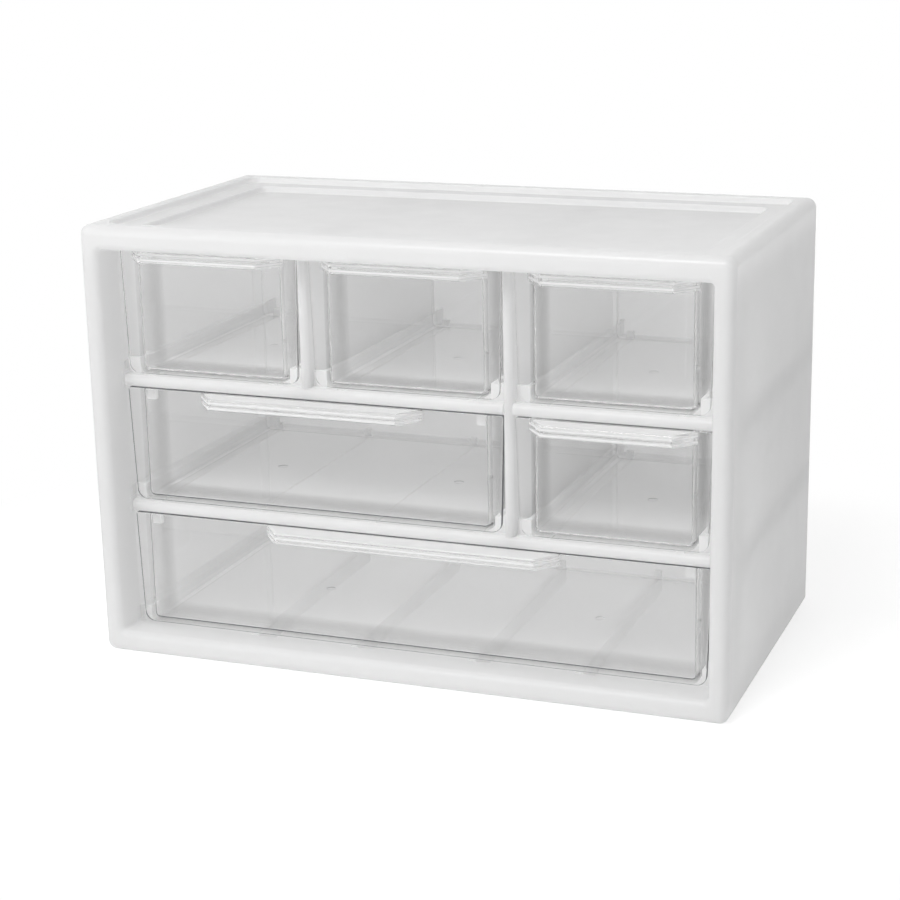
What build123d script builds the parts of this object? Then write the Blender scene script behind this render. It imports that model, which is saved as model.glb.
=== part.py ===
from build123d import *
import os

# Desktop storage box: a white moulded housing with six clear drawers in three rows.
# Millimetres. X runs from left to right, Y from the front to the rear, and Z up.
# The origin is the middle of the base, on the surface that the box stands on.

# Housing
width = 260.0
depth = 144.0
height = 175.0
wall = 2.5
outer_radius = 4.0
cavity_radius = 2.0

# Front frame: its face, and the wall that runs back from it around the opening
frame_side = 7.5
frame_top = 9.6
frame_bottom = 9.0
frame_reach = 13.0
frame_lean = 2.2
frame_wall = 2.0
frame_radius = 2.8
opening_radius = 1.5

# Top: a rim, one step down to a ledge, and a second step down to the tray
rim_width = 8.0
rim_drop = 2.5
ledge_width = 9.0
ledge_drop = 2.5
top_plate = 2.4
tray_corner_radius = 5.0
ledge_corner_radius = 4.0
step_radius = 0.8

# Rows: clear heights from the bottom up; the top row takes what is left
bottom_row = 47.7
middle_row = 47.3

# Shelves and dividers: thin boards with a thicker rounded nose at the front
nose_setback = 11.8
shelf_board = 2.4
shelf_nose_height = 4.8
shelf_nose_depth = 6.8
shelf_nose_radius = 2.3
divider_offset = 41.4
divider_board = 2.4
divider_nose_width = 3.7
divider_nose_depth = 5.0
divider_nose_radius = 1.75
lap_length = 65.0
tab_length = 12.0
tab_depth = 2.0
tab_inset = 26.0

# Guides on the side walls, rails under the drawers and the stops at their ends
guide_height = 2.0
ceiling_guide_wall = 1.5
lip_height = 6.5
lip_wall = 1.6
lip_cap = 2.0
rail_width = 3.0
rail_lift = 0.5
rail_inset = 6.5
inner_rail_spread = 25.0
outer_rail_spread = 68.5
four_rail_width = 100.0
post_height = 4.0
post_depth = 2.0
nub_width = 3.6
nub_depth = 2.0
nub_drop = 5.3
nub_inset = 5.0

# Rear panel
panel_thickness = 2.4
panel_setback = 1.0
panel_field_margin = 14.0
panel_field_depth = 0.8
lug_width = 12.0
lug_height = 0.8
lug_depth = 1.2
lug_spread = 70.0

# Drawers: a front that fills its opening, and a narrower tub behind it
drawer_setback = 13.5
drawer_length = 112.5
drawer_front = 2.0
front_lean = 1.5
front_corner_radius = 4.0
tub_inset_small = 5.9
tub_inset_wide = 5.0
tub_inset_full = 4.0
drawer_side = 1.5
drawer_floor = 1.6
drawer_corner_radius = 3.5
drawer_rear_radius = 2.5
drawer_top_radius = 1.0
drawer_edge_radius = 0.5
rear_wall_cut = 1.0
gate_mark_radius = 2.0
gate_mark_depth = 0.3

# Handles: a ledge with a turned-down lip and slanted ends, part of each drawer
handle_reach = 9.0
handle_height = 4.6
handle_wall = 1.5
handle_slant = 7.5
handle_inset_small = 5.5
handle_inset_wide = 32.6
handle_inset_full = 58.8
handle_edge_radius = 0.6

# Clearances
fit_gap = 0.2
slot_gap = 0.15
drawer_side_gap = 0.45
drawer_top_gap = 0.5
drawer_rail_gap = 0.1
stop_gap = 0.3
nub_gap = 0.8

# How far a cut runs past the face that it opens, and how near an edge counts as on a level
overshoot = 1.0
near = 0.01

# Places worked out from the sizes above
front = -depth / 2
rear = depth / 2
frame_back = front + frame_reach
inner_half = width / 2 - wall
mouth_half = width / 2 - frame_side
throat_half = mouth_half - frame_lean
throat_top = height - frame_top
tray_floor = height - rim_drop - ledge_drop
ceiling = tray_floor - top_plate
panel_front = rear - panel_setback - panel_thickness
board_front = frame_back + fit_gap
board_rear = panel_front - fit_gap
nose_front = front + nose_setback
lap_end = board_front + lap_length
drawer_face = front + drawer_setback
drawer_rear = drawer_face + drawer_length
nub_front = drawer_face + drawer_front + nub_gap
post_front = drawer_rear + stop_gap
lower_shelf_top = frame_bottom + bottom_row + shelf_nose_height
upper_shelf_top = lower_shelf_top + middle_row + shelf_nose_height
divider_face = divider_nose_width / 2

# Columns: the clear width between the noses and the side walls of the frame
left_column = (-throat_half, -divider_offset - divider_face)
centre_column = (-divider_offset + divider_face, divider_offset - divider_face)
right_column = (divider_offset + divider_face, throat_half)
wide_column = (-throat_half, divider_offset - divider_face)
full_column = (-throat_half, throat_half)

# Rows: the level that a drawer slides on and the level of the edge above it
bottom_level = (frame_bottom, lower_shelf_top - shelf_nose_height)
middle_level = (lower_shelf_top, upper_shelf_top - shelf_nose_height)
top_level = (upper_shelf_top, throat_top)


rows = (
    (frame_bottom, (full_column,)),
    (lower_shelf_top, (wide_column, right_column)),
    (upper_shelf_top, (left_column, centre_column, right_column)),
)


def block(x, y, z):
    """A box between two limits on each axis."""
    spans = (x, y, z)
    centre = [(low + high) / 2 for low, high in spans]
    return Pos(*centre) * Box(*[high - low for low, high in spans])


def around(middle, size):
    """The two limits of a size centred on a place."""
    return (middle - size / 2, middle + size / 2)


def round_along(solid, axis, radius):
    """Rounds the edges of a solid that run along an axis."""
    return fillet(solid.edges().filter_by(axis), radius)


def plan_prism(points, z):
    """An outline in plan, raised between two levels."""
    outline = make_face(Polyline(*points, close=True))
    return Pos(0, 0, z[0]) * extrude(outline, z[1] - z[0])


def throat_prism(grow, y, z):
    """The opening of the front frame, whose sides lean in towards the rear."""
    lean = frame_lean / frame_reach
    half = [mouth_half + grow - lean * (place - front) for place in y]
    points = [(-half[0], y[0]), (half[0], y[0]), (half[1], y[1]), (-half[1], y[1])]
    return plan_prism(points, z)


def tub_inset(column):
    """How far the sides of a drawer stand in from the ends of its front."""
    if column == full_column:
        return tub_inset_full
    return tub_inset_wide if column == wide_column else tub_inset_small


def rail_places(column):
    """Rails under a drawer: one near each side, or two each side where it is wide."""
    low, high = column
    middle = (low + high) / 2
    if high - low > four_rail_width:
        spreads = (inner_rail_spread, outer_rail_spread)
    else:
        spreads = ((high - low) / 2 - tub_inset(column) - rail_inset,)
    return [middle + side * spread for side in (-1, 1) for spread in spreads]


def rails(column, foot, level):
    """Rails that a drawer slides on, each ending in a post that stops the drawer."""
    top = level + rail_lift
    parts = []
    for place in rail_places(column):
        span = around(place, rail_width)
        post = (post_front, post_front + post_depth)
        parts.append(block(span, (board_front, post_front + post_depth), (foot, top)))
        parts.append(block(span, post, (foot, top + post_height)))
    return parts


def nubs(column, root, edge):
    """Nubs that hang behind the front of a drawer and stop its rear wall."""
    inset = tub_inset(column) + nub_inset
    places = (column[0] + inset, column[1] - inset)
    y = (nub_front, nub_front + nub_depth)
    return [block(around(place, nub_width), y, (edge - nub_drop, root)) for place in places]


def tub_lip(edge, inward, inset, foot, level):
    """An upright lip beside a drawer, with a cap at its front that reaches back to the edge."""
    face = edge + inward * inset
    z = (foot, level + lip_height)
    along = block(sorted((face, face - inward * lip_wall)), (nub_front, board_rear), z)
    cap = block(sorted((face, edge)), (nub_front, nub_front + lip_cap), z)
    return [along, cap]


def column_edges(columns, at_wall):
    """Edges of columns at a side wall, or else at a divider: place, way in and inset."""
    edges = []
    for column in columns:
        for edge, inward in ((column[0], 1), (column[1], -1)):
            if (abs(edge) == throat_half) == at_wall:
                edges.append((edge, inward, tub_inset(column)))
    return edges


def ring(solid, axis, level, limits):
    """Edges at one level along an axis, within limits along the other axes."""
    edges = solid.edges().filter_by_position(axis, level - near, level + near)
    for other, low, high in limits:
        edges = edges.filter_by_position(other, low - near, high + near)
    return edges


def tray_pocket(inset, floor, corner):
    """A pocket in the top, an even inset from the outer faces."""
    x = (-width / 2 + inset, width / 2 - inset)
    y = (front + inset, rear - inset)
    pocket = round_along(block(x, y, (floor, height + overshoot)), Axis.Z, corner)
    foot = pocket.faces().sort_by(Axis.Z)[0].edges()
    return fillet(foot, step_radius)


def round_step(solid, inset, level):
    """Rounds the upper edge of a step in the top."""
    x = (Axis.X, inset - width / 2, width / 2 - inset)
    y = (Axis.Y, front + inset, rear - inset)
    return fillet(ring(solid, Axis.Z, level, (x, y)), step_radius)


def round_throat(throat):
    """Rounds the four edges of the opening that run from front to rear."""
    def runs_back(edge):
        return edge.bounding_box().size.Y > frame_reach
    return fillet(throat.edges().filter_by(runs_back), opening_radius)


def round_frame(solid):
    """Rounds the inner edge of the front frame."""
    x = (Axis.X, -mouth_half - overshoot, mouth_half + overshoot)
    z = (Axis.Z, frame_bottom, throat_top)
    return fillet(ring(solid, Axis.Y, front, (x, z)), frame_radius)


def moulded_case():
    """The case with its front frame, tray top and open rear, before its guides."""
    case = block((-width / 2, width / 2), (front, rear), (0, height))
    case = fillet(case.edges(), outer_radius)
    ledge_inset = rim_width + ledge_width
    case -= tray_pocket(rim_width, height - rim_drop, tray_corner_radius)
    case -= tray_pocket(ledge_inset, tray_floor, ledge_corner_radius)
    case = round_step(case, rim_width, height)
    case = round_step(case, ledge_inset, height - rim_drop)
    throat = throat_prism(0, (front - overshoot, frame_back + overshoot), (frame_bottom, throat_top))
    case = round_frame(case - round_throat(throat))
    hollow = block((-inner_half, inner_half), (front + wall, rear + overshoot), (wall, ceiling))
    hollow = round_along(hollow, Axis.Y, cavity_radius)
    lining = throat_prism(frame_wall, (front, frame_back), (frame_bottom - frame_wall, height))
    return case - (hollow - lining)


def side_guides():
    """Ribs on the side walls that hold the shelf ends and guide the drawers."""
    levels = [(frame_bottom, frame_bottom + guide_height)]
    for top in (lower_shelf_top, upper_shelf_top):
        under = top - shelf_board - fit_gap / 2
        levels.append((under - guide_height, under))
        levels.append((top + fit_gap / 2, top + guide_height))
    y = (frame_back - frame_wall, panel_front - fit_gap)
    left = (-inner_half - wall / 2, -throat_half)
    right = (throat_half, inner_half + wall / 2)
    return [block(x, y, z) for z in levels for x in (left, right)]


def wall_lips():
    """Lips beside the outer drawers, each on a flange that runs in from the side wall."""
    parts = []
    for level, columns in rows:
        foot = level if level == frame_bottom else level + fit_gap / 2
        for edge, inward, inset in column_edges(columns, True):
            parts += tub_lip(edge, inward, inset, foot, level)
            flange = sorted((edge - inward, edge + inward * inset))
            parts.append(block(flange, (nub_front, board_rear), (foot, level + guide_height)))
    return parts


def ceiling_guides():
    """Pairs of ribs under the top that hold the upper edges of the dividers."""
    parts = []
    offset = divider_board / 2 + slot_gap + ceiling_guide_wall / 2
    for divider in (-divider_offset, divider_offset):
        for place in (divider - offset, divider + offset):
            x = around(place, ceiling_guide_wall)
            y = (nub_front, panel_front - fit_gap)
            parts.append(block(x, y, (throat_top, ceiling + top_plate / 2)))
    return parts


def rear_notches():
    """Notches in the base and the top that the lugs of the rear panel snap into."""
    y = around(panel_front + panel_thickness / 2, lug_depth + 2 * slot_gap)
    low = (wall - lug_height - slot_gap, wall + overshoot)
    high = (ceiling - overshoot, ceiling + lug_height + slot_gap)
    x_spans = [around(place, lug_width + 2 * slot_gap) for place in (-lug_spread, lug_spread)]
    return [block(x, y, z) for x in x_spans for z in (low, high)]


def housing_shell():
    """The case with its ribs, rails, nubs and notches, as it is moulded."""
    shell = moulded_case()
    shell += side_guides() + wall_lips() + ceiling_guides()
    shell += rails(full_column, wall / 2, frame_bottom)
    for column in (left_column, centre_column, right_column):
        shell += nubs(column, ceiling + top_plate / 2, throat_top)
    return shell - rear_notches()


def rear_panel():
    """The panel that closes the rear, with four lugs and a sunken field."""
    x = (-inner_half + slot_gap, inner_half - slot_gap)
    z = (wall + slot_gap, ceiling - slot_gap)
    panel = block(x, (panel_front, panel_front + panel_thickness), z)
    panel = round_along(panel, Axis.Y, cavity_radius)
    margin = panel_field_margin
    back = panel_front + panel_thickness
    field = block((x[0] + margin, x[1] - margin), (back - panel_field_depth, back + overshoot),
                  (z[0] + margin, z[1] - margin))
    panel -= round_along(field, Axis.Y, cavity_radius)
    y = around(panel_front + panel_thickness / 2, lug_depth)
    low = (wall - lug_height, z[0] + overshoot)
    high = (z[1] - overshoot, ceiling + lug_height)
    for place in (-lug_spread, lug_spread):
        panel += block(around(place, lug_width), y, low)
        panel += block(around(place, lug_width), y, high)
    return panel


def shelf(top, above, below, standing):
    """A shelf with rails for the drawers above it, nubs for those below, and divider slots."""
    board = block((-inner_half + fit_gap, inner_half - fit_gap), (board_front, board_rear),
                  (top - shelf_board, top))
    nose = block((-throat_half + fit_gap, throat_half - fit_gap),
                 (nose_front, nose_front + shelf_nose_depth), (top - shelf_nose_height, top))
    lip = nose.faces().sort_by(Axis.Y)[0].edges().filter_by(Axis.X)
    board += fillet(lip, shelf_nose_radius)
    for column in above:
        board += rails(column, top - shelf_board / 2, top)
    for edge, inward, inset in column_edges(above, False):
        board += tub_lip(edge + inward * slot_gap, inward, inset - slot_gap,
                         top - shelf_board / 2, top)
    for column in below:
        board += nubs(column, top - shelf_board, top - shelf_nose_height)
    for place in standing:
        for y in tab_places():
            slot = around(y, tab_length + 2 * slot_gap)
            board -= block(around(place, divider_board + 2 * slot_gap), slot,
                           (top - shelf_board - overshoot, top + overshoot))
    return board


def tab_places():
    """Where the tabs of a divider stand, from front to rear."""
    return (board_front + tab_inset, board_rear - tab_inset)


def divider(place, foot):
    """An upright board with a rounded nose at the front and tabs at its foot."""
    board = block(around(place, divider_board), (board_front, board_rear),
                  (foot, ceiling - fit_gap))
    nose = block(around(place, divider_nose_width),
                 (nose_front, nose_front + divider_nose_depth), (foot, throat_top - fit_gap))
    lip = nose.faces().sort_by(Axis.Y)[0].edges().filter_by(Axis.Z)
    board += fillet(lip, divider_nose_radius)
    for y in tab_places():
        board += block(around(place, divider_board), around(y, tab_length),
                       (foot - tab_depth, foot + overshoot))
    return board


def shelf_lower():
    """The shelf between the bottom and middle rows."""
    return shelf(lower_shelf_top, (wide_column, right_column), (full_column,),
                 (divider_offset,))


def shelf_upper():
    """The shelf between the middle and top rows, lapped over the tall divider."""
    board = shelf(upper_shelf_top, (left_column, centre_column, right_column),
                  (wide_column, right_column), (-divider_offset,))
    z = (upper_shelf_top - shelf_nose_height - overshoot, upper_shelf_top + overshoot)
    nose_slot = around(divider_offset, divider_nose_width + 2 * slot_gap)
    nose_back = nose_front + shelf_nose_depth
    board -= block(nose_slot, (nose_front - overshoot, nose_back + overshoot), z)
    board_slot = around(divider_offset, divider_board + 2 * slot_gap)
    return board - block(board_slot, (nose_front, lap_end + slot_gap), z)


def divider_left():
    """The short divider between the left and centre drawers of the top row."""
    return divider(-divider_offset, upper_shelf_top)


def divider_right():
    """The tall divider through the middle and top rows, slotted for the upper shelf."""
    board = divider(divider_offset, lower_shelf_top)
    z = (upper_shelf_top - shelf_board - slot_gap, upper_shelf_top + slot_gap)
    return board - block(around(divider_offset, divider_nose_width), (lap_end, rear), z)


def handle(column_middle, half_root, top):
    """A ledge with a turned-down lip, slanted at both ends and open below."""
    def outline(half_back, half_front, reach):
        return [(column_middle - half_back, drawer_face), (column_middle + half_back, drawer_face),
                (column_middle + half_front, drawer_face - reach),
                (column_middle - half_front, drawer_face - reach)]
    half_lip = half_root - handle_slant
    lug = plan_prism(outline(half_root, half_lip, handle_reach), (top - handle_height, top))
    lip_edges = lug.faces().sort_by(Axis.Y)[0].edges()
    lug = fillet(lip_edges, handle_edge_radius)
    hollow = outline(half_root - handle_wall, half_lip - handle_wall / 2,
                     handle_reach - handle_wall)
    return lug - plan_prism(hollow, (top - handle_height - overshoot, top - handle_wall))


def drawer_plate(x, z):
    """The front of a drawer, a little narrower at its foot, with all its corners rounded."""
    points = [(x[0] + front_lean, drawer_face, z[0]), (x[1] - front_lean, drawer_face, z[0]),
              (x[1], drawer_face, z[1]), (x[0], drawer_face, z[1])]
    outline = make_face(Polyline(*points, close=True))
    plate = extrude(outline, drawer_front, dir=(0, 1, 0))
    plate = fillet(plate.edges().filter_by(Axis.Y).group_by(Axis.Z)[0], front_corner_radius)
    plate = fillet(plate.edges().filter_by(Axis.Y).group_by(Axis.Z)[-1], drawer_top_radius)
    return fillet(plate.faces().sort_by(Axis.Y)[0].edges(), drawer_edge_radius)


def drawer_tub(x, z):
    """The outside of the tub behind the front, with rounded corners below and at the rear."""
    tub = block(x, (drawer_face + drawer_front / 2, drawer_rear), z)
    tub = fillet(tub.edges().filter_by(Axis.Y).group_by(Axis.Z)[0], drawer_corner_radius)
    return fillet(tub.edges().filter_by(Axis.Z).group_by(Axis.Y)[-1], drawer_rear_radius)


def drawer_inside(x, foot, top):
    """The hollow of a drawer, with rounded corners along its floor."""
    hollow = block((x[0] + drawer_side, x[1] - drawer_side),
                   (drawer_face + drawer_front, drawer_rear - drawer_side),
                   (foot + drawer_floor, top + overshoot))
    lower = hollow.edges().filter_by(Axis.Y).group_by(Axis.Z)[0]
    hollow = fillet(lower, drawer_corner_radius - drawer_side)
    return fillet(hollow.edges().filter_by(Axis.Z), drawer_rear_radius - drawer_side)


def gate_marks(x, foot, handle_inset):
    """Shallow round marks under the floor: one under a small drawer, two under a wider one."""
    middle = (x[0] + x[1]) / 2
    quarter = (x[1] - x[0]) / 4
    places = (middle,) if handle_inset < handle_inset_wide else (middle - quarter, middle + quarter)
    mark = Cylinder(gate_mark_radius, 2 * gate_mark_depth)
    return [Pos(place, (drawer_face + drawer_rear) / 2, foot) * mark for place in places]


def drawer(column, level, handle_inset):
    """A clear drawer, open at the top, with its handle along the top of its front."""
    x = (column[0] + drawer_side_gap, column[1] - drawer_side_gap)
    foot = level[0] + rail_lift + drawer_rail_gap
    top = level[1] - drawer_top_gap
    tub = (x[0] + tub_inset(column), x[1] - tub_inset(column))
    body = drawer_plate(x, (foot, top)) + drawer_tub(tub, (foot, top))
    body -= drawer_inside(tub, foot, top)
    rear_edge = block((tub[0] + drawer_side, tub[1] - drawer_side),
                      (drawer_rear - drawer_side - overshoot, drawer_rear + overshoot),
                      (top - rear_wall_cut, top + overshoot))
    body -= rear_edge
    body += handle((x[0] + x[1]) / 2, (x[1] - x[0]) / 2 - handle_inset, top)
    return body - gate_marks(x, foot, handle_inset)


def save(name, solid):
    """Writes one piece to its own file."""
    export_step(solid, f"parts/{name}.step")


drawers = {
    "drawer_top_left": (left_column, top_level, handle_inset_small),
    "drawer_top_centre": (centre_column, top_level, handle_inset_small),
    "drawer_top_right": (right_column, top_level, handle_inset_small),
    "drawer_middle_wide": (wide_column, middle_level, handle_inset_wide),
    "drawer_middle_right": (right_column, middle_level, handle_inset_small),
    "drawer_bottom_full": (full_column, bottom_level, handle_inset_full),
}

os.makedirs("parts", exist_ok=True)
save("housing_shell", housing_shell())
save("rear_panel", rear_panel())
save("shelf_lower", shelf_lower())
save("shelf_upper", shelf_upper())
save("divider_left", divider_left())
save("divider_right", divider_right())
for name, (column, level, handle_inset) in drawers.items():
    save(name, drawer(column, level, handle_inset))
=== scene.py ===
import math
import bpy
from mathutils import Matrix, Vector

# Desktop storage box with six clear drawers. Metres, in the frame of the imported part:
# X from left to right, Y from the front to the rear, Z up from the surface it stands on.

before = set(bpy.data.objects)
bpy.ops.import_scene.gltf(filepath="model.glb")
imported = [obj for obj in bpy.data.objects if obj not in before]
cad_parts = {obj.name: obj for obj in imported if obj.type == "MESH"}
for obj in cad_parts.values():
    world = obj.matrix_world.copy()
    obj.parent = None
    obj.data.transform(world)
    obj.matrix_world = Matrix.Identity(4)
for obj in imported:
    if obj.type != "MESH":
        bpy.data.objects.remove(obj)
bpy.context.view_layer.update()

MM = 0.001

HOUSING = ("housing_shell", "rear_panel", "shelf_lower", "shelf_upper", "divider_left",
           "divider_right")
SMALL_DRAWERS = ("drawer_top_left", "drawer_top_centre", "drawer_top_right",
                 "drawer_middle_right")
LONG_DRAWERS = ("drawer_middle_wide", "drawer_bottom_full")

# The drawers' fronts along Y, where a drawer's own frame and the part's are the same.
FRONT_MIDDLE = -57.5 * MM
FRONT_HALF = 1.0 * MM
FRONT_FACE = FRONT_MIDDLE - FRONT_HALF
FRONT_BACK = FRONT_MIDDLE + FRONT_HALF

# Sockets that go by number, because several on the node have the same name.
COLOUR_A, COLOUR_B, MIXED_COLOUR = 6, 7, 2

# A face looks along an axis once its normal's part along that axis is larger than this.
FACING_LIMIT = 0.5
POLYSTYRENE_IOR = 1.59


def linear(colour):
    """An sRGB hex colour as the linear one that the shaders take."""
    channels = [int(colour[i:i + 2], 16) / 255 for i in (1, 3, 5)]
    return [c / 12.92 if c <= 0.04045 else ((c + 0.055) / 1.055) ** 2.4 for c in channels] + [1.0]


def add(tree, kind, inputs=None, **settings):
    """Adds a node with its settings. Each input takes a value or the output that feeds it."""
    made = tree.nodes.new(kind)
    for name, value in settings.items():
        setattr(made, name, value)
    for name, value in (inputs or {}).items():
        if isinstance(value, bpy.types.NodeSocket):
            tree.links.new(value, made.inputs[name])
        else:
            made.inputs[name].default_value = value
    return made


def material(name):
    """An empty node material and its tree."""
    made = bpy.data.materials.new(name)
    made.use_nodes = True
    made.node_tree.nodes.clear()
    return made, made.node_tree


def noise_between(tree, place, size_mm, low, high):
    """A noise of one real size, spread between two values."""
    noise = add(tree, "ShaderNodeTexNoise",
                {"Vector": place, "Scale": 1 / (size_mm * MM), "Detail": 2.0})
    return add(tree, "ShaderNodeMapRange",
               {"Value": noise.outputs["Fac"], "From Min": 0.3, "From Max": 0.7, "To Min": low,
                "To Max": high}).outputs["Result"]


def white_moulded_plastic():
    """White polystyrene, injection moulded in a polished tool.

    The eye sees an even neutral white with a soft gloss, faintly wavy over a few centimetres
    where the walls cooled, and a fine grain that only blurs the reflections. The thin walls
    pass a share of the light, which keeps the inside of the box pale.
    """
    passed_light = 0.42
    wave_length, wave_height = 28.0 * MM, 0.04 * MM
    grain_size, grain_height = 0.9 * MM, 0.002 * MM
    made, tree = material("white_polystyrene_moulded")
    place = add(tree, "ShaderNodeTexCoord").outputs["Object"]
    flow = noise_between(tree, place, 45.0, 0.0, 1.0)
    colour = add(tree, "ShaderNodeMix",
                 {"Factor": flow, COLOUR_A: linear("#FAFAFA"), COLOUR_B: linear("#F9F9F9")},
                 data_type="RGBA").outputs[MIXED_COLOUR]
    gloss = noise_between(tree, place, 18.0, 0.20, 0.27)
    waves = add(tree, "ShaderNodeTexNoise",
                {"Vector": place, "Scale": 1 / wave_length, "Detail": 1.0}).outputs["Fac"]
    grain = add(tree, "ShaderNodeTexNoise",
                {"Vector": place, "Scale": 1 / grain_size, "Detail": 3.0}).outputs["Fac"]
    cooled = add(tree, "ShaderNodeBump",
                 {"Height": waves, "Distance": wave_height, "Strength": 0.5}).outputs["Normal"]
    textured = add(tree, "ShaderNodeBump",
                   {"Height": grain, "Distance": grain_height, "Strength": 0.5,
                    "Normal": cooled}).outputs["Normal"]
    surface = add(tree, "ShaderNodeBsdfPrincipled",
                  {"Base Color": colour, "Roughness": gloss, "IOR": 1.5, "Normal": textured})
    glow = add(tree, "ShaderNodeBsdfTranslucent", {"Color": colour, "Normal": textured})
    both = add(tree, "ShaderNodeMixShader",
               {0: passed_light, 1: surface.outputs["BSDF"], 2: glow.outputs["BSDF"]})
    add(tree, "ShaderNodeOutputMaterial", {"Surface": both.outputs["Shader"]})
    return made


def masks_of_drawer(tree, place, normal):
    """Which part of a drawer a point is on: rim of its front, wall behind it, or handle.

    The rim is 1 on the narrow faces around the front and on the underside close behind it, where
    the painted shade and painted dark edge lines go. The wall is strongest right behind the front
    and is gone some way into the box.
    """
    foot_reach, wall_reach, wall_share = 2.5 * MM, 20.0 * MM, 0.9
    off_the_back, off_the_face = 0.01 * MM, 0.2 * MM
    depth = add(tree, "ShaderNodeSeparateXYZ", {"Vector": place}).outputs["Y"]
    facing = add(tree, "ShaderNodeSeparateXYZ", {"Vector": normal}).outputs
    in_front = add(tree, "ShaderNodeMath", {0: depth, 1: FRONT_MIDDLE, 2: FRONT_HALF},
                   operation="COMPARE").outputs["Value"]
    sideways = add(tree, "ShaderNodeMath", {0: facing["Y"], 1: 0.0, 2: FACING_LIMIT},
                   operation="COMPARE").outputs["Value"]
    around = add(tree, "ShaderNodeMath", {0: in_front, 1: sideways},
                 operation="MULTIPLY").outputs["Value"]
    downward = add(tree, "ShaderNodeMath", {0: facing["Z"], 1: -FACING_LIMIT},
                   operation="LESS_THAN").outputs["Value"]
    close = add(tree, "ShaderNodeMath", {0: depth, 1: FRONT_BACK + foot_reach},
                operation="LESS_THAN").outputs["Value"]
    foot = add(tree, "ShaderNodeMath", {0: downward, 1: close},
               operation="MULTIPLY").outputs["Value"]
    rim = add(tree, "ShaderNodeMath", {0: around, 1: foot}, operation="MAXIMUM").outputs["Value"]
    fading = add(tree, "ShaderNodeMapRange",
                 {"Value": depth, "From Min": FRONT_BACK, "From Max": FRONT_BACK + wall_reach,
                  "To Min": wall_share, "To Max": 0.0}).outputs["Result"]
    behind = add(tree, "ShaderNodeMath", {0: depth, 1: FRONT_BACK + off_the_back},
                 operation="GREATER_THAN").outputs["Value"]
    side_wall = add(tree, "ShaderNodeMath", {0: behind, 1: sideways},
                    operation="MULTIPLY").outputs["Value"]
    wall = add(tree, "ShaderNodeMath", {0: fading, 1: side_wall},
               operation="MULTIPLY").outputs["Value"]
    handle = add(tree, "ShaderNodeMath", {0: depth, 1: FRONT_FACE - off_the_face},
                 operation="LESS_THAN").outputs["Value"]
    return rim, wall, handle


def clear_moulded_plastic(name, dark_edge_share):
    """Clear polystyrene, injection moulded in a polished tool.

    The eye sees through it with a faint gloss and thin lines where its edges bend the light.
    The narrow faces around a front and the underside close behind it carry a painted dark grey:
    painted shade under the front, and painted dark edge lines in place of the dark surroundings
    that the edges bend into view. The walls right behind the front let much of the view straight
    through, which keeps their lines faint. The handle carries painted highlight lines: bands of
    an opaque pale white mixed over the clear plastic.
    Lamps and scattered light pass straight through, as they do through thin clear walls.
    """
    highlight_band_pitch, highlight_band_low, highlight_band_high = 2.2 * MM, 0.05, 0.7
    unscaled_wave = math.pi / 10  # the length of one wave while the texture's scale is 1
    made, tree = material(name)
    coordinates = add(tree, "ShaderNodeTexCoord").outputs
    place = coordinates["Object"]
    rim, wall, handle = masks_of_drawer(tree, place, coordinates["Normal"])

    gloss = noise_between(tree, place, 22.0, 0.0, 0.02)
    clear = add(tree, "ShaderNodeBsdfPrincipled",
                {"Base Color": linear("#FFFFFF"), "Roughness": gloss, "IOR": POLYSTYRENE_IOR,
                 "Transmission Weight": 1.0})
    through = add(tree, "ShaderNodeBsdfTransparent", {"Color": linear("#FFFFFF")})
    calmed = add(tree, "ShaderNodeMixShader",
                 {0: wall, 1: clear.outputs["BSDF"], 2: through.outputs["BSDF"]})

    # Painted shade and painted dark edge lines: a dark grey on the narrow faces around the front
    # and on the underside close behind it.
    grain = noise_between(tree, place, 0.6, 0.0, 1.0)
    grey = add(tree, "ShaderNodeMix",
               {"Factor": grain, COLOUR_A: linear("#55575B"), COLOUR_B: linear("#66686C")},
               data_type="RGBA").outputs[MIXED_COLOUR]
    painted_dark_edge = add(tree, "ShaderNodeBsdfPrincipled",
                  {"Base Color": grey, "Roughness": 0.5, "IOR": POLYSTYRENE_IOR})
    dark_edge_amount = add(tree, "ShaderNodeMath", {0: rim, 1: dark_edge_share},
                operation="MULTIPLY").outputs["Value"]
    edged = add(tree, "ShaderNodeMixShader",
                {0: dark_edge_amount, 1: calmed.outputs["Shader"], 2: painted_dark_edge.outputs["BSDF"]})

    # Painted highlight lines on the handle: bands of an opaque pale white mixed over the clear
    # plastic.
    highlight_bands = add(tree, "ShaderNodeTexWave",
                 {"Vector": place, "Scale": unscaled_wave / highlight_band_pitch, "Distortion": 0.0},
                 bands_direction="Z").outputs["Fac"]
    strength = add(tree, "ShaderNodeMapRange",
                   {"Value": highlight_bands, "To Min": highlight_band_low, "To Max": highlight_band_high},
                   interpolation_type="SMOOTHSTEP").outputs["Result"]
    lit = add(tree, "ShaderNodeMath", {0: handle, 1: strength},
              operation="MULTIPLY").outputs["Value"]
    painted_highlight = add(tree, "ShaderNodeBsdfPrincipled",
                {"Base Color": linear("#FCFCFC"), "Roughness": 0.25, "IOR": POLYSTYRENE_IOR})
    handled = add(tree, "ShaderNodeMixShader",
                  {0: lit, 1: edged.outputs["Shader"], 2: painted_highlight.outputs["BSDF"]})

    ray = add(tree, "ShaderNodeLightPath").outputs
    passing = add(tree, "ShaderNodeMath", {0: ray["Is Shadow Ray"], 1: ray["Is Diffuse Ray"]},
                  operation="MAXIMUM").outputs["Value"]
    mixed = add(tree, "ShaderNodeMixShader",
                {0: passing, 1: handled.outputs["Shader"], 2: through.outputs["BSDF"]})
    add(tree, "ShaderNodeOutputMaterial", {"Surface": mixed.outputs["Shader"]})
    return made


def dress(nodes, finish):
    """Gives CAD nodes one material in place of their own."""
    for name in nodes:
        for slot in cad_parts[name].material_slots:
            slot.material = finish


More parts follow.
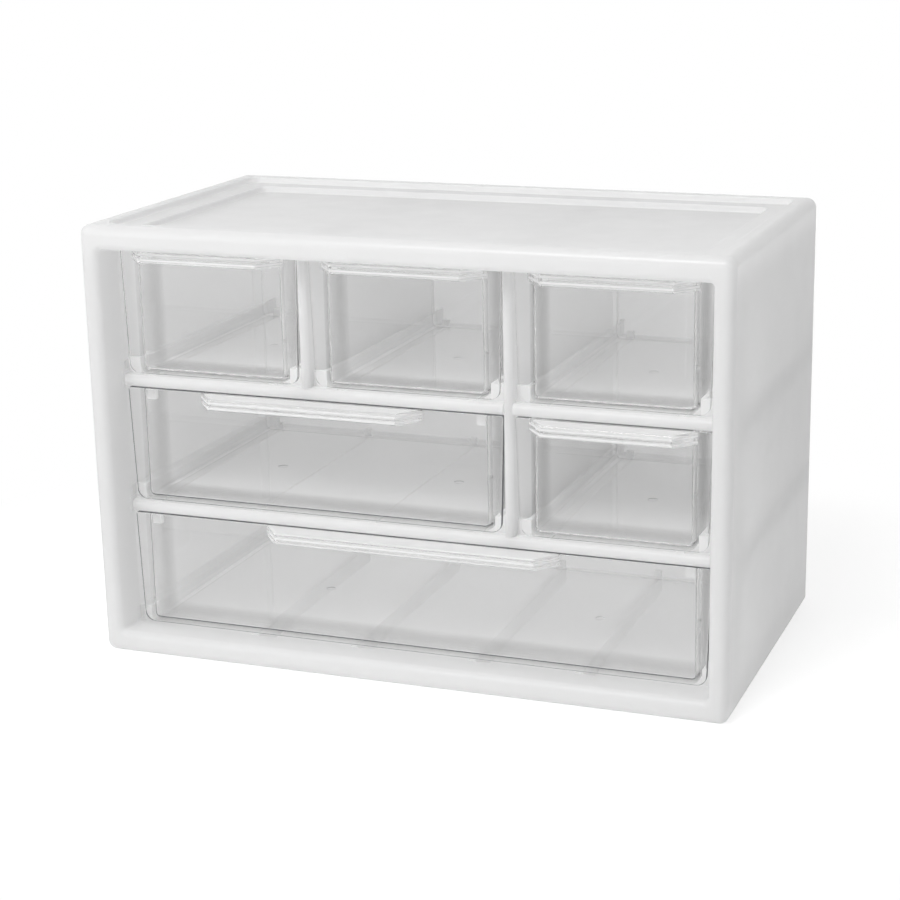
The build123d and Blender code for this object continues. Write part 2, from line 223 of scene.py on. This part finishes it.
def seen_directly(tree):
    """1 for rays that look at the background, straight, by a reflection or through glass."""
    ray = add(tree, "ShaderNodeLightPath").outputs
    looks = add(tree, "ShaderNodeMath", {0: ray["Is Camera Ray"], 1: ray["Is Glossy Ray"]},
                operation="MAXIMUM").outputs["Value"]
    return add(tree, "ShaderNodeMath", {0: looks, 1: ray["Is Transmission Ray"]},
               operation="MAXIMUM").outputs["Value"]


def studio_world(ambient):
    """White where it is looked at, and a plain soft light elsewhere."""
    world = bpy.data.worlds.new("studio")
    bpy.context.scene.world = world
    world.use_nodes = True
    tree = world.node_tree
    tree.nodes.clear()
    soft = add(tree, "ShaderNodeBackground", {"Color": linear("#FFFFFF"), "Strength": ambient})
    white = add(tree, "ShaderNodeBackground", {"Color": linear("#FFFFFF"), "Strength": 1.0})
    mixed = add(tree, "ShaderNodeMixShader",
                {0: seen_directly(tree), 1: soft.outputs["Background"],
                 2: white.outputs["Background"]})
    add(tree, "ShaderNodeOutputWorld", {"Surface": mixed.outputs["Shader"]})


def studio_floor(size, glow, fade_start, fade_end):
    """A pale paper floor that keeps the soft shadow and fades into the white behind it.

    Rays that scatter through the box's white walls also count as looking through glass. The
    floor gives those less of its white, so that it doesn't light the box from below.
    """
    kept_from_scattered = 0.4
    made, tree = material("pale_paper_floor")
    place = add(tree, "ShaderNodeTexCoord").outputs["Object"]
    fleck = noise_between(tree, place, 2.0, 0.0, 1.0)
    colour = add(tree, "ShaderNodeMix",
                 {"Factor": fleck, COLOUR_A: linear("#F4F4F4"), COLOUR_B: linear("#F2F2F2")},
                 data_type="RGBA").outputs[MIXED_COLOUR]
    paper = add(tree, "ShaderNodeBsdfDiffuse", {"Color": colour})
    light = add(tree, "ShaderNodeEmission", {"Color": linear("#FFFFFF"), "Strength": glow})
    lit = add(tree, "ShaderNodeAddShader",
              {0: paper.outputs["BSDF"], 1: light.outputs["Emission"]})
    distance = add(tree, "ShaderNodeVectorMath", {0: place}, operation="LENGTH").outputs["Value"]
    far = add(tree, "ShaderNodeMapRange",
              {"Value": distance, "From Min": fade_start, "From Max": fade_end},
              interpolation_type="SMOOTHSTEP").outputs["Result"]
    white = add(tree, "ShaderNodeEmission", {"Color": linear("#FFFFFF"), "Strength": 1.0})
    seen = add(tree, "ShaderNodeMixShader",
               {0: far, 1: lit.outputs["Shader"], 2: white.outputs["Emission"]})
    scattered = add(tree, "ShaderNodeLightPath").outputs["Is Diffuse Ray"]
    looked_at = add(tree, "ShaderNodeMath",
                    {0: scattered, 1: -kept_from_scattered, 2: seen_directly(tree)},
                    operation="MULTIPLY_ADD", use_clamp=True).outputs["Value"]
    mixed = add(tree, "ShaderNodeMixShader",
                {0: looked_at, 1: paper.outputs["BSDF"], 2: seen.outputs["Shader"]})
    add(tree, "ShaderNodeOutputMaterial", {"Surface": mixed.outputs["Shader"]})
    half = size / 2
    mesh = bpy.data.meshes.new("studio_floor")
    mesh.from_pydata([(-half, -half, 0), (half, -half, 0), (half, half, 0), (-half, half, 0)],
                     [], [(0, 1, 2, 3)])
    floor = bpy.data.objects.new("studio_floor", mesh)
    floor.data.materials.append(made)
    bpy.context.scene.collection.objects.link(floor)


def softbox(name, place, target, width, height, watts):
    """A rectangular lamp that faces a point and stays out of the picture."""
    lamp = bpy.data.lights.new(name, "AREA")
    lamp.shape = "RECTANGLE"
    lamp.size = width
    lamp.size_y = height
    lamp.energy = watts
    lamp_object = bpy.data.objects.new(name, lamp)
    away = Vector(place) - Vector(target)
    lamp_object.rotation_euler = away.to_track_quat("Z", "Y").to_euler()
    lamp_object.location = place
    lamp_object.visible_camera = False
    bpy.context.scene.collection.objects.link(lamp_object)


def studio_camera():
    """The camera at the photograph's place, angle and framing."""
    place = (0.2938, -0.7626, 0.3058)
    azimuth, elevation, roll = math.radians(19.57), math.radians(15.78), math.radians(-0.68)
    frame_pixels, focal_pixels, centre_x, centre_y = 900, 2071, 514.7, 452.5
    back = Vector((math.sin(azimuth) * math.cos(elevation),
                   -math.cos(azimuth) * math.cos(elevation), math.sin(elevation)))
    right = Vector((0, 0, 1)).cross(back).normalized()
    up = back.cross(right)
    turned_right = math.cos(roll) * right + math.sin(roll) * up
    turned_up = math.cos(roll) * up - math.sin(roll) * right
    camera = bpy.data.cameras.new("camera")
    camera.sensor_width = 36.0
    camera.lens = camera.sensor_width * focal_pixels / frame_pixels
    camera.shift_x = (frame_pixels / 2 - centre_x) / frame_pixels
    camera.shift_y = (centre_y - frame_pixels / 2) / frame_pixels
    camera_object = bpy.data.objects.new("camera", camera)
    turn = Matrix((turned_right, turned_up, back)).transposed()
    camera_object.matrix_world = Matrix.Translation(place) @ turn.to_4x4()
    bpy.context.scene.collection.objects.link(camera_object)
    bpy.context.scene.camera = camera_object


def light_bounces():
    """Enough bounces for light that goes in and out of clear drawers in a white box."""
    light_paths = bpy.context.scene.cycles
    light_paths.max_bounces = 32
    light_paths.diffuse_bounces = 16
    light_paths.transmission_bounces = 24
    light_paths.glossy_bounces = 12
    light_paths.transparent_max_bounces = 64


dress(HOUSING, white_moulded_plastic())
# Each drawer's share of painted dark edge grey on the narrow faces around its front.
dress(SMALL_DRAWERS, clear_moulded_plastic("clear_polystyrene_moulded", dark_edge_share=0.2))
dress(LONG_DRAWERS, clear_moulded_plastic("clear_polystyrene_long_front", dark_edge_share=0.92))

studio_world(ambient=0.38)
studio_floor(size=6.0, glow=0.5, fade_start=0.16, fade_end=0.3)
softbox("top_softbox", (-0.2, 0.2, 1.3), (0, 0, 0.1), width=0.6, height=0.6, watts=0.5)
softbox("high_softbox", (-0.15, -0.8, 1.0), (0, 0, 0.08), width=0.6, height=0.35, watts=5.6)
softbox("left_softbox", (-0.8, -0.9, 0.5), (0, 0, 0.08), width=0.6, height=0.6, watts=2.2)
softbox("front_softbox", (0.35, -1.0, 0.9), (0, 0, 0.08), width=0.7, height=0.5, watts=0.3)
softbox("rear_softbox", (0, 0.6, 0.1), (0, 0.07, 0.09), width=0.3, height=0.16, watts=0.45)
studio_camera()
light_bounces()
bpy.context.scene.view_settings.view_transform = "Standard"
